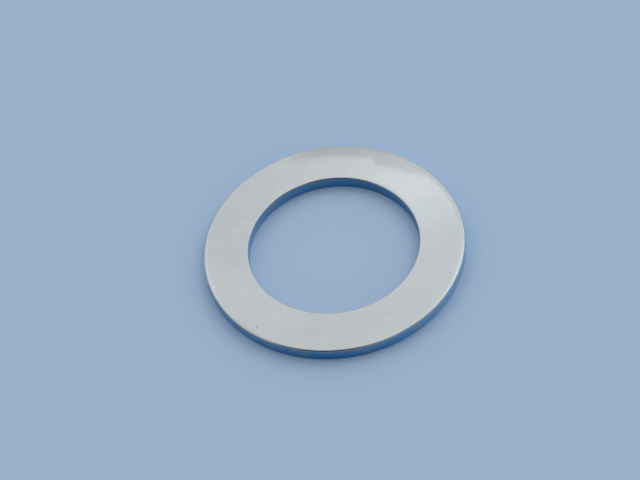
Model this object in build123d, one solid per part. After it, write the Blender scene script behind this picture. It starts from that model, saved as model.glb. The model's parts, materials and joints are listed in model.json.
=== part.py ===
from build123d import *
import os

# A bearing shim: a flat steel ring that spaces a bearing along its shaft.
# It is turned from one blank, both faces are ground parallel, and tumbling rounds its rim.
# All sizes are in millimetres. The ring lies on its lower face, the origin is
# on the ring's axis in the plane of that face, and +Z points to the upper face.

# What the ring has to fit
SHAFT_DIAMETER = 40.0  # the shaft, or inner-ring shoulder, inside the bore
SHAFT_CLEARANCE = 0.15  # radial gap from the shaft to the bore
HOUSING_DIAMETER = 62.0  # the bearing seat that the rim drops into
HOUSING_CLEARANCE = 0.25  # radial gap from the rim to the seat

# The ring's own sizes
THICKNESS = 3.2  # ground face to ground face
BORE_EDGE_BREAK = 0.15  # width of the 45 degree break at both ends of the bore
RIM_EDGE_RADIUS = 0.4  # the rounding of both edges of the rim

BORE_RADIUS = SHAFT_DIAMETER / 2 + SHAFT_CLEARANCE
RIM_RADIUS = HOUSING_DIAMETER / 2 - HOUSING_CLEARANCE


def wall_section():
    """Half of the ring, cut through its axis: a rectangle, broken at the bore and rounded at the rim."""
    with BuildSketch(Plane.XZ) as section:
        with Locations((BORE_RADIUS, 0)):
            Rectangle(RIM_RADIUS - BORE_RADIUS, THICKNESS, align=(Align.MIN, Align.MIN))
        corners = section.vertices().group_by(Axis.X)
        chamfer(corners[0], length=BORE_EDGE_BREAK)
        fillet(corners[-1], radius=RIM_EDGE_RADIUS)
    return section.sketch


def shim_ring():
    """The whole shim: its wall section turned once about the axis."""
    with BuildPart() as ring:
        add(wall_section())
        revolve(axis=Axis.Z, revolution_arc=360)
    return ring.part


os.makedirs("parts", exist_ok=True)
export_step(shim_ring(), "parts/shim_ring.step")
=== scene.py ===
import json
import math

import bmesh
import bpy
from mathutils import Matrix, Vector


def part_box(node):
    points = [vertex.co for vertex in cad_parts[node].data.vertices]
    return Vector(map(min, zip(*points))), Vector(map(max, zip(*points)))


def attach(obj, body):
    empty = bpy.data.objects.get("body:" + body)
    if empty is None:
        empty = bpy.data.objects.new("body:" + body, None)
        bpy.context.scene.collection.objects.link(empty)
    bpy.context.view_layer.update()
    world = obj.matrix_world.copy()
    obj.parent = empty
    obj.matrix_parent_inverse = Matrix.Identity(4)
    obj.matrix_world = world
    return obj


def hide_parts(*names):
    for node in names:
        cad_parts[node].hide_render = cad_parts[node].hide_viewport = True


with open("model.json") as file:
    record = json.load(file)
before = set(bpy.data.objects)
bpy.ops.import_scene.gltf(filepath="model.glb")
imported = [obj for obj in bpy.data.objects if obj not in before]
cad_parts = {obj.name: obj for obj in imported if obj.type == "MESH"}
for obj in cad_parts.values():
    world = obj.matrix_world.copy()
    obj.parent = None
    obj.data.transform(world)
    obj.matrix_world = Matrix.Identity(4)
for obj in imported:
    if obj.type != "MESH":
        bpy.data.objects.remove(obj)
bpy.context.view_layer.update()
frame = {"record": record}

# A bearing shim: one flat steel ring, turned from a hardened blank; then both faces were ground bright
# and lapped. The dark blue of its rim and bore is a painted reflection of a blue floor, with painted
# shade.
# The ring made here takes its sizes from the frame and adds what finishing and handling leave on
# it: faces that fall off a hair towards the rim and the bore, two nicks, a short scratch and a pit
# in the upper face, and two notches on the rim's upper edge. Lengths are in metres, written as
# millimetres times MM, except where a comment says that they are in millimetres.

MM = 0.001

# ---------------------------------------------------------------- sizes from the frame

mounts = {mount["name"]: mount for mount in frame["record"]["mounts"]}

BORE = mounts["bore"]["dims"]["r_mm"] * MM
RIM = mounts["rim"]["dims"]["r_mm"] * MM
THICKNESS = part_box("shim_ring")[1].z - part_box("shim_ring")[0].z
BORE_BREAK = (THICKNESS - mounts["bore"]["dims"]["length_mm"] * MM) / 2
RIM_ROUND = (THICKNESS - mounts["rim"]["dims"]["length_mm"] * MM) / 2
WALL = RIM - BORE

# ---------------------------------------------------------------- camera


def aim_camera():
    """A camera that looks down on the ring, turned a little about its own line of sight."""
    elevation = math.radians(50.5)
    roll = math.radians(-10.14)
    distance = 365.6 * MM
    aim = Vector((-2.95 * MM, 1.66 * MM, THICKNESS))
    bpy.ops.object.camera_add()
    camera = bpy.context.object
    camera.matrix_world = (
        Matrix.Translation(aim)
        @ Matrix.Rotation(math.pi / 2 - elevation, 4, "X")
        @ Matrix.Rotation(roll, 4, "Z")
        @ Matrix.Translation((0, 0, distance))
    )
    camera.data.sensor_width = 36
    camera.data.lens = 87.7
    camera.data.clip_start = 10 * MM
    camera.data.clip_end = 20
    bpy.context.scene.camera = camera


# ---------------------------------------------------------------- materials


def linear(hex_colour):
    """A hex colour, as a colour picker shows it, in the linear values that shaders take."""
    channels = [int(hex_colour[i : i + 2], 16) / 255 for i in (1, 3, 5)]
    return [c / 12.92 if c <= 0.04045 else ((c + 0.055) / 1.055) ** 2.4 for c in channels] + [1]


def add(tree, kind, inputs=None, **settings):
    """Add a shader node. The inputs are values, or outputs of other nodes to link from."""
    node = tree.nodes.new("ShaderNode" + kind)
    for name, value in settings.items():
        setattr(node, name, value)
    for name, value in (inputs or {}).items():
        if isinstance(value, bpy.types.NodeSocket):
            tree.links.new(value, node.inputs[name])
        else:
            node.inputs[name].default_value = value
    return node


def new_material(name):
    """A material with nothing in it yet, and its node tree."""
    material = bpy.data.materials.new(name)
    material.use_nodes = True
    material.node_tree.nodes.clear()
    return material, material.node_tree


def finish_material(tree, shader):
    """Make the shader what the material shows."""
    output = add(tree, "OutputMaterial")
    tree.links.new(shader.outputs[0], output.inputs["Surface"])


def ground_steel():
    """Hardened steel, ground and then lapped: almost a mirror, with the last of the grinding marks."""
    material, tree = new_material("ground_and_lapped_steel")
    place = add(tree, "TexCoord").outputs["Object"]
    in_mm = add(tree, "Mapping", {"Vector": place, "Scale": (1 / MM,) * 3}).outputs[0]

    # lapping leaves the face a few microns out of flat, in waves about 9 mm long
    wave = add(tree, "TexNoise", {"Vector": in_mm, "Scale": 1 / 9, "Detail": 1.0, "Roughness": 0.4})
    wavy = add(tree, "Bump", {"Height": wave.outputs[0], "Distance": 0.003 * MM})

    # the grinding wheel's marks are 14 mm long and 0.12 mm apart: finer on the real face, and drawn
    # this coarse to show
    turn = (0, 0, math.radians(24))
    lay_place = add(tree, "Mapping", {"Vector": in_mm, "Rotation": turn, "Scale": (1 / 14, 1 / 0.12, 1)})
    lay_noise = {"Vector": lay_place.outputs[0], "Scale": 1.0, "Detail": 3.0, "Roughness": 0.6}
    lay = add(tree, "TexNoise", lay_noise).outputs[0]
    marked = add(tree, "Bump", {"Height": lay, "Distance": 0.00004 * MM, "Normal": wavy.outputs[0]})

    # a lapped face mirrors nearly as sharply as glass, a little less so along the marks
    gloss = {"Value": lay, "From Min": 0.35, "From Max": 0.7, "To Min": 0.018, "To Max": 0.036}
    rough = add(tree, "MapRange", gloss).outputs[0]

    # films of oil and fingering, in clouds about 5 mm across
    cloud = add(tree, "TexNoise", {"Vector": in_mm, "Scale": 1 / 5, "Detail": 4.0, "Roughness": 0.55})
    film = add(tree, "MapRange", {"Value": cloud.outputs[0], "From Min": 0.38, "From Max": 0.64})
    tones = {"Factor": film.outputs[0], "A": linear("#C4C9CB"), "B": linear("#C9CDCD")}
    tone = add(tree, "Mix", tones, data_type="RGBA").outputs["Result"]

    look = {"Base Color": tone, "Metallic": 1.0, "Roughness": rough, "Normal": marked.outputs[0]}
    finish_material(tree, add(tree, "BsdfPrincipled", look))
    return material


def knocked_steel():
    """Steel laid bare and torn where something struck it: light from every side, and dull."""
    material, tree = new_material("fresh_knock_in_steel")
    look = {"Base Color": linear("#E6EAEB"), "Metallic": 1.0, "Roughness": 0.4}
    finish_material(tree, add(tree, "BsdfPrincipled", look))
    return material


def pitted_steel():
    """The floor of a pit, where a grain fell out and a little scale stayed: grey and dull."""
    material, tree = new_material("scale_left_in_a_pit")
    look = {"Base Color": linear("#BFC1BE"), "Metallic": 1.0, "Roughness": 0.5}
    finish_material(tree, add(tree, "BsdfPrincipled", look))
    return material


def painted_blue_steel(name, darkest_at, deep, pale):
    """Turned steel in painted blue, which is painted reflection and shade: half glossy, bare at the
    edges.

    The painted blue is deepest at one place along X, given in millimetres, as painted shade, and paler
    to both sides, as painted reflection. Each of the two tones is a pair: for low on the wall, and for
    high on the wall and in patches.
    """
    material, tree = new_material(name)
    place = add(tree, "TexCoord").outputs["Object"]
    in_mm = add(tree, "Mapping", {"Vector": place, "Scale": (1 / MM,) * 3}).outputs[0]
    axes = add(tree, "SeparateXYZ", {"Vector": in_mm}).outputs

    # tool rings run round the wall, so the pattern is long across and 0.15 mm fine along the axis
    ring_place = add(tree, "Mapping", {"Vector": in_mm, "Scale": (1 / 8, 1 / 8, 1 / 0.15)})
    rings = add(tree, "TexNoise", {"Vector": ring_place.outputs[0], "Scale": 1.0, "Detail": 2.0})
    turned = add(tree, "Bump", {"Height": rings.outputs[0], "Strength": 0.4, "Distance": 0.006 * MM})

    # painted reflection and shade: paler towards the upper face; and paler at random, in patches 4 mm
    # across
    upwards = {"Value": axes["Z"], "From Min": 0.4, "From Max": 3.4}
    painted_light_upwards = add(tree, "MapRange", upwards, interpolation_type="SMOOTHSTEP").outputs[0]
    patch = add(tree, "TexNoise", {"Vector": in_mm, "Scale": 1 / 4, "Detail": 4.0, "Roughness": 0.6})
    patchy = add(tree, "Math", {0: patch.outputs[0], 1: -0.5}, operation="ADD").outputs[0]
    patch_and_shade_inputs = {0: patchy, 1: 1.8, 2: painted_light_upwards}
    patches_and_painted_shade = add(tree, "Math", patch_and_shade_inputs, operation="MULTIPLY_ADD", use_clamp=True).outputs[0]

    # painted shade and painted reflection: its tone goes from deep to pale with the square of the way
    # along X, and is pale after 30 mm
    pale_after = 30.15
    aside = add(tree, "Math", {0: axes["X"], 1: darkest_at}, operation="SUBTRACT").outputs[0]
    squared = add(tree, "Math", {0: aside, 1: aside}, operation="MULTIPLY").outputs[0]
    share = {0: squared, 1: 1 / pale_after**2}
    painted_side_light = add(tree, "Math", share, operation="MULTIPLY", use_clamp=True).outputs[0]
    deep_tone, pale_tone = (
        add(tree, "Mix", {"Factor": patches_and_painted_shade, "A": linear(kept), "B": linear(painted_upper_tone)}, data_type="RGBA")
        for kept, painted_upper_tone in (deep, pale)
    )
    tones = {"Factor": painted_side_light, "A": deep_tone.outputs["Result"], "B": pale_tone.outputs["Result"]}
    painted_blue_tone = add(tree, "Mix", tones, data_type="RGBA").outputs["Result"]

    # at the edges tumbling left the steel bare and burnished, unevenly every 1.5 mm or so.
    # These are in millimetres, away from the middle of the wall's height
    middle = THICKNESS / MM / 2
    bare_from = middle - 0.14
    bare_full = middle + 0.08
    unevenness = 0.2
    ragged = add(tree, "TexNoise", {"Vector": in_mm, "Scale": 1 / 1.5, "Detail": 3.0}).outputs[0]
    above = add(tree, "Math", {0: axes["Z"], 1: middle}, operation="SUBTRACT").outputs[0]
    away = add(tree, "Math", {0: above}, operation="ABSOLUTE").outputs[0]
    wander = {0: ragged, 1: unevenness, 2: away}
    wandering = add(tree, "Math", wander, operation="MULTIPLY_ADD").outputs[0]
    baring = {"Value": wandering, "From Min": bare_from, "From Max": bare_full}
    bare = add(tree, "MapRange", baring, interpolation_type="SMOOTHSTEP").outputs[0]
    tones = {"Factor": bare, "A": painted_blue_tone, "B": linear("#C6CCD0")}
    tone = add(tree, "Mix", tones, data_type="RGBA").outputs["Result"]
    rough = add(tree, "MapRange", {"Value": bare, "To Min": 0.28, "To Max": 0.16}).outputs[0]

    look = {"Base Color": tone, "Metallic": 1.0, "Roughness": rough, "Normal": turned.outputs[0]}
    finish_material(tree, add(tree, "BsdfPrincipled", look))
    return material


def floor_paper():
    """Uncoated backdrop paper: pale, and matt from every side."""
    material, tree = new_material("pale_blue_paper")
    look = {"Base Color": linear("#C5DEFA"), "Roughness": 0.9, "Specular IOR Level": 0.0}
    finish_material(tree, add(tree, "BsdfPrincipled", look))
    return material


# ---------------------------------------------------------------- modelling

SPIN_STEPS = 360  # one degree each
FACE_CUTS = 52  # points across each face for it to bend at
ROUND_CUTS = 10  # flats that make up the rounding of each rim edge
EDGE_EASE = 0.035 * MM  # how far the corners of the bore's edge breaks are eased

# where both faces fall off: the radius of the edge, how far in its rounding or break goes, how much
# further in the fall begins, and how deep it gets
FALLS = (
    (RIM, RIM_ROUND, 0.85 * MM, 0.016 * MM),
    (BORE, BORE_BREAK + EDGE_EASE, 0.6 * MM, 0.006 * MM),
)

NOTCH_RADIUS = RIM / MM - 0.03  # where the notches on the rim's edge have their middle, in millimetres

# what handling left, as hollows cut into the ring: the finish inside, the radius and the angle of
# the middle, the way that it runs, its length, width and depth, and how far under the upper face it
# begins. They are in millimetres and degrees, and angles run from +X towards +Y
HOLLOWS = (
    ("knock", 29.95, -170.4, -118, 1.2, 0.36, 0.06, 0),  # a nick near the rim
    ("knock", 29.7, -167.2, -107, 1.7, 0.40, 0.07, 0),  # a longer one next to it
    ("knock", 24.28, 158.6, -13, 1.5, 0.07, 0.006, 0),  # a short scratch
    ("pit", 28.79, -135.33, 0, 0.52, 0.46, 0.06, 0),  # a pit
    ("pit", NOTCH_RADIUS, -31.3, 90 - 31.3, 0.45, 0.3, 0.12, 0.2),  # a notch, along the rim's edge
    ("pit", NOTCH_RADIUS, -46.3, 90 - 46.3, 0.45, 0.3, 0.12, 0.2),  # one more
)


def deselect():
    """Let go of every object, so that the next operator acts only on what is picked for it."""
    bpy.ops.object.select_all(action="DESELECT")


def take(piece):
    """Make one object the only one that operators act on."""
    deselect()
    bpy.context.view_layer.objects.active = piece
    piece.select_set(True)


def pick(piece, kind, test):
    """In edit mode, select the vertices, edges or faces that pass the test, and nothing else."""
    bpy.ops.mesh.select_mode(type="VERT")
    bpy.ops.mesh.select_all(action="DESELECT")
    bpy.ops.mesh.select_mode(type=kind)
    mesh = bmesh.from_edit_mesh(piece.data)
    for element in {"VERT": mesh.verts, "EDGE": mesh.edges, "FACE": mesh.faces}[kind]:
        element.select_set(test(element))
    mesh.select_flush_mode()
    bmesh.update_edit_mesh(piece.data)


def ring_blank():
    """The wall's section, drawn beside the axis and then spun into a ring."""
    deselect()
    centre = Vector((BORE + WALL / 2, 0, THICKNESS / 2))
    bpy.ops.mesh.primitive_plane_add(size=1, rotation=(math.pi / 2, 0, 0), location=centre)
    ring = bpy.context.object
    ring.name = "ground_ring"
    ring.scale = (WALL, THICKNESS, 1)
    bpy.ops.object.transform_apply(location=True, rotation=True, scale=True)
    bpy.ops.object.mode_set(mode="EDIT")

    # round the two corners at the rim, break the two at the bore and ease the corners of each break
    pick(ring, "VERT", lambda vertex: vertex.co.x > centre.x)
    bpy.ops.mesh.bevel(offset=RIM_ROUND, segments=ROUND_CUTS, profile=0.5, affect="VERTICES")
    pick(ring, "VERT", lambda vertex: vertex.co.x < centre.x)
    bpy.ops.mesh.bevel(offset=BORE_BREAK, segments=1, affect="VERTICES")
    pick(ring, "VERT", lambda vertex: vertex.co.x < centre.x)
    bpy.ops.mesh.bevel(offset=EDGE_EASE, segments=3, profile=0.5, affect="VERTICES")
    bpy.ops.mesh.select_all(action="SELECT")
    bpy.ops.mesh.delete(type="ONLY_FACE")

    # give the two faces points to bend at
    pick(ring, "EDGE", lambda edge: edge.calc_length() > WALL / 2)
    bpy.ops.mesh.subdivide(number_cuts=FACE_CUTS)

    # let both faces fall off close to the rim, and a little less to the bore
    just_past = 1.02  # so that rounding errors leave no point of the edge behind
    for side, size, reach, drop in FALLS:
        for level, sink in ((THICKNESS, -drop), (0, drop)):
            corner = Vector((side, 0, level))
            pick(ring, "VERT", lambda vertex: (vertex.co - corner).length < just_past * size)
            bpy.ops.transform.translate(
                value=(0, 0, sink),
                use_proportional_edit=True,
                proportional_edit_falloff="SHARP",
                proportional_size=reach,
            )

    bpy.ops.mesh.select_all(action="SELECT")
    bpy.ops.mesh.spin(steps=SPIN_STEPS, angle=2 * math.pi, center=(0, 0, 0), axis=(0, 0, 1))
    bpy.ops.mesh.select_all(action="SELECT")
    bpy.ops.mesh.normals_make_consistent(inside=False)
    bpy.ops.object.mode_set(mode="OBJECT")
    return ring


def give_finishes(ring, face, rim, bore):
    """The flats are ground, and the walls with their edges get the painted blue and what tumbling left.
    """
    level_enough = 0.995  # the faces' fall near the edges is still ground
    for material in (face, rim, bore):
        ring.data.materials.append(material)
    for polygon in ring.data.polygons:
        outside = polygon.center.xy.length > BORE + WALL / 2
        if abs(polygon.normal.z) > level_enough:
            polygon.material_index = 0
        else:
            polygon.material_index = 1 if outside else 2


def hollow(ring, material, radius, angle, heading, length, width, depth, below):
    """Cut a small boat-shaped hollow into the ring, with its middle at the given place."""
    deselect()
    cap = math.radians(60)  # how much of the cutter's ball goes into the steel
    scale = Vector((length / 2 / math.sin(cap), width / 2 / math.sin(cap), depth / (1 - math.cos(cap))))
    x, y = radius * math.cos(angle), radius * math.sin(angle)
    z = THICKNESS - below + scale.z * math.cos(cap)
    bpy.ops.mesh.primitive_uv_sphere_add(
        segments=24, ring_count=16, location=(x, y, z), rotation=(0, 0, heading)
    )
    cutter = bpy.context.object
    cutter.scale = scale
    bpy.ops.object.transform_apply(location=True, rotation=True, scale=True)
    cutter.data.materials.append(material)
    take(ring)
    cut = ring.modifiers.new("cut", "BOOLEAN")
    cut.operation = "DIFFERENCE"
    cut.solver = "EXACT"
    cut.material_mode = "TRANSFER"
    cut.object = cutter
    bpy.ops.object.modifier_apply(modifier=cut.name)
    bpy.data.objects.remove(cutter)


def borders_hollow(edge):
    """Whether one side of the edge is the ring's own skin and the other side is inside a hollow."""
    own_finishes = 3
    return len({face.material_index < own_finishes for face in edge.link_faces}) == 2


def smooth(ring):
    """Shade the ring smooth, but keep the borders of the hollows crisp."""
    take(ring)
    bpy.ops.object.shade_smooth_by_angle(angle=math.radians(35))
    bpy.ops.object.mode_set(mode="EDIT")
    pick(ring, "EDGE", borders_hollow)
    bpy.ops.mesh.mark_sharp()
    bpy.ops.object.mode_set(mode="OBJECT")
    even = ring.modifiers.new("even", "WEIGHTED_NORMAL")
    even.keep_sharp = True
    bpy.ops.object.modifier_apply(modifier=even.name)


# ---------------------------------------------------------------- floor and light

# round glows on the tent: azimuth, elevation and radius in degrees, hardness, and strength
GLOWS = (
    (84.5, 48, 6.5, 1.5, 0.085),  # the lamp behind the tent, as the middle of the face mirrors it
    (84.3, 48.8, 3.3, 3, 0.14),  # the lamp's core
    (73.5, 54.5, 6.5, 2, 0.24),  # to the right, where only the rolled-off edge of the face looks
    (79, 48, 5, 1.5, 0.05),  # the same, close beside the lamp
    (104, 50.5, 5.5, 1.5, 0.16),  # the same to the left
    (94.7, 52.5, 2.2, 1, 0.05),  # a faint light patch, which the front left of the face mirrors
    (82.6, 50.9, 1.7, 1, -0.035),  # a faint shade, which the right of the face mirrors
    (40, 46, 22, 1, 0.42),  # a lamp to the right, which lights the rim's right edge
)

# black cards: azimuth and elevation, and the radii in degrees of the full dark and of its soft edge
CARDS = (
    (-105, 45, 21, 38),  # beside the camera
    (-123, 53, 23, 27.5),  # a sharper one to its left
    (110, 73, 5, 10),  # high in the rear wall, which the rim's front edge mirrors
    (-44, 38, 9, 21),  # to the camera's right
)


def lay_floor():
    """The paper that the ring lies on, 16 m wide, so that its far edge is close to the horizon."""
    deselect()
    bpy.ops.mesh.primitive_plane_add(size=16)
    floor = bpy.context.object
    floor.name = "floor"
    floor.data.materials.append(floor_paper())


def toward(azimuth, elevation):
    """The way out from the ring at these angles, in degrees. Azimuth runs from +X towards +Y."""
    azimuth, elevation = math.radians(azimuth), math.radians(elevation)
    across = math.cos(elevation)
    return Vector((across * math.cos(azimuth), across * math.sin(azimuth), math.sin(elevation)))


def rear_gap(tree, way, right):
    """What the tent keeps of its light: all, but for a darker gap in the rear, below a screen.

    Places in the rear wall are sines of angles. Right is measured from its middle, and up from the
    foot of the screen.
    """
    foot = 47.45  # elevation of the screen's foot in the middle, in degrees
    rise = toward(-90, 90 - foot)
    up = add(tree, "VectorMath", {0: way, 1: rise}, operation="DOT_PRODUCT").outputs["Value"]

    # the screen's foot bends up to both sides. From sheet_start on, a second sheet hangs over it,
    # with a straight foot
    bend, lift = 4.26, 0.001
    sheet_start, sheet_slope, sheet_lift = 0.0435, 0.397, -0.0046
    squared = add(tree, "Math", {0: right, 1: right}, operation="MULTIPLY").outputs[0]
    curved = add(tree, "Math", {0: squared, 1: bend, 2: lift}, operation="MULTIPLY_ADD").outputs[0]
    slope = {0: right, 1: sheet_slope, 2: sheet_lift}
    straight = add(tree, "Math", slope, operation="MULTIPLY_ADD").outputs[0]
    started = add(tree, "Math", {0: right, 1: sheet_start}, operation="GREATER_THAN").outputs[0]
    sheet = add(tree, "Math", {0: straight, 1: started}, operation="MULTIPLY").outputs[0]
    hem = add(tree, "Math", {0: curved, 1: sheet}, operation="MAXIMUM").outputs[0]
    above = add(tree, "Math", {0: up, 1: hem}, operation="SUBTRACT").outputs[0]

    # the gap is sharp where it meets the hem, and bounded to the other sides
    gap = add(tree, "MapRange", {"Value": above, "From Min": 0.0006, "From Max": -0.0012}).outputs[0]
    for bound in (
        {"Value": right, "From Min": -0.019, "From Max": 0.005},  # it ends to the left,
        {"Value": right, "From Min": 0.092, "From Max": 0.082, "To Min": 0.5},  # halves in a step,
        {"Value": right, "From Min": 0.30, "From Max": 0.10},  # fades out to the right
        {"Value": up, "From Min": -0.25, "From Max": -0.12},  # and fades out low down
    ):
        part = add(tree, "MapRange", bound).outputs[0]
        gap = add(tree, "Math", {0: gap, 1: part}, operation="MULTIPLY").outputs[0]
    kept_in_gap = 0.745
    return add(tree, "MapRange", {"Value": gap, "To Min": 1.0, "To Max": kept_in_gap}).outputs[0]


def tent_wall(tree, way):
    """How bright the tent's wall is for every way out, before the lamps and the cards."""
    # it is brightest within 37 degrees of this way, and dims by a third up to 70 degrees
    brightest = toward(90, 60)
    near = add(tree, "VectorMath", {0: way, 1: brightest}, operation="DOT_PRODUCT").outputs["Value"]
    dimming = {"Value": near, "From Min": 0.35, "From Max": 0.8, "To Min": 0.63, "To Max": 0.90}
    wall = add(tree, "MapRange", dimming, interpolation_type="SMOOTHSTEP").outputs[0]
    right = add(tree, "VectorMath", {0: way, 1: toward(0, 0)}, operation="DOT_PRODUCT").outputs["Value"]
    kept = rear_gap(tree, way, right)
    wall = add(tree, "Math", {0: wall, 1: kept}, operation="MULTIPLY").outputs[0]

    # and it is a little lighter to the right
    sideways = {"Value": right, "From Min": -0.3, "From Max": 0.3, "To Min": 0.9, "To Max": 1.1}
    lean = add(tree, "MapRange", sideways).outputs[0]
    return add(tree, "Math", {0: wall, 1: lean}, operation="MULTIPLY").outputs[0]


def add_glow(tree, way, level, azimuth, elevation, radius, hardness, strength):
    """The level, with a round glow on it that is strongest in its middle."""
    middle = toward(azimuth, elevation)
    near = add(tree, "VectorMath", {0: way, 1: middle}, operation="DOT_PRODUCT").outputs["Value"]
    inside = {"Value": near, "From Min": math.cos(math.radians(radius)), "From Max": 1.0}
    disc = add(tree, "MapRange", inside).outputs[0]
    glow = add(tree, "Math", {0: disc, 1: hardness}, operation="POWER").outputs[0]
    return add(tree, "Math", {0: glow, 1: strength, 2: level}, operation="MULTIPLY_ADD").outputs[0]


def hang_card(tree, way, level, azimuth, elevation, dark, edge):
    """The level, with a round black card in front of it."""
    middle = toward(azimuth, elevation)
    near = add(tree, "VectorMath", {0: way, 1: middle}, operation="DOT_PRODUCT").outputs["Value"]
    shape = {
        "Value": near,
        "From Min": math.cos(math.radians(edge)),
        "From Max": math.cos(math.radians(dark)),
        "To Min": 1.0,
        "To Max": 0.12,
    }
    kept = add(tree, "MapRange", shape, interpolation_type="SMOOTHSTEP").outputs[0]
    return add(tree, "Math", {0: level, 1: kept}, operation="MULTIPLY").outputs[0]


def room_light():
    """A white tent, brightest above and behind the ring, with what its upper face mirrors drawn in."""
    world = bpy.data.worlds.new("studio")
    world.use_nodes = True
    tree = world.node_tree
    tree.nodes.clear()
    way = add(tree, "TexCoord").outputs["Generated"]
    level = tent_wall(tree, way)
    for glow in GLOWS:
        level = add_glow(tree, way, level, *glow)
    for card in CARDS:
        level = hang_card(tree, way, level, *card)
    tent = add(tree, "Background", {"Color": linear("#FBFDFF"), "Strength": level})

    # near the horizon the tent gives way to a sweep in the tone of the lit floor, so that the
    # floor's far edge doesn't show. The blend is by the sine of the elevation
    sweep = add(tree, "Background", {"Color": linear("#9BB1CB"), "Strength": 1.0})
    height = add(tree, "SeparateXYZ", {"Vector": way}).outputs["Z"]
    blend = add(tree, "MapRange", {"Value": height, "From Min": 0.15, "From Max": 0.4}).outputs[0]
    room = add(tree, "MixShader", {0: blend, 1: sweep.outputs[0], 2: tent.outputs[0]})
    output = add(tree, "OutputWorld")
    tree.links.new(room.outputs[0], output.inputs["Surface"])
    bpy.context.scene.world = world


# ---------------------------------------------------------------- putting it together

aim_camera()
# the walls' blue is painted reflection and painted shade; these pale tones paint the lighter sides
painted_pale_sides = ("#A2D2F2", "#BBCFDE")
rim_painted_blue = painted_blue_steel("rim_steel_with_painted_blue", -8.0, ("#3A91C9", "#8BA3AC"), painted_pale_sides)
bore_painted_blue = painted_blue_steel("bore_steel_with_painted_blue", 7.0, ("#4F97C8", "#6D92A9"), painted_pale_sides)
bared = {"knock": knocked_steel(), "pit": pitted_steel()}
ring = ring_blank()
give_finishes(ring, ground_steel(), rim_painted_blue, bore_painted_blue)
for finish, radius, angle, heading, length, width, depth, below in HOLLOWS:
    angles = (math.radians(angle), math.radians(heading))
    sizes = (length * MM, width * MM, depth * MM, below * MM)
    hollow(ring, bared[finish], radius * MM, *angles, *sizes)
smooth(ring)
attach(ring, "root")
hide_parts("shim_ring")

lay_floor()
room_light()
bpy.context.scene.view_settings.view_transform = "Standard"
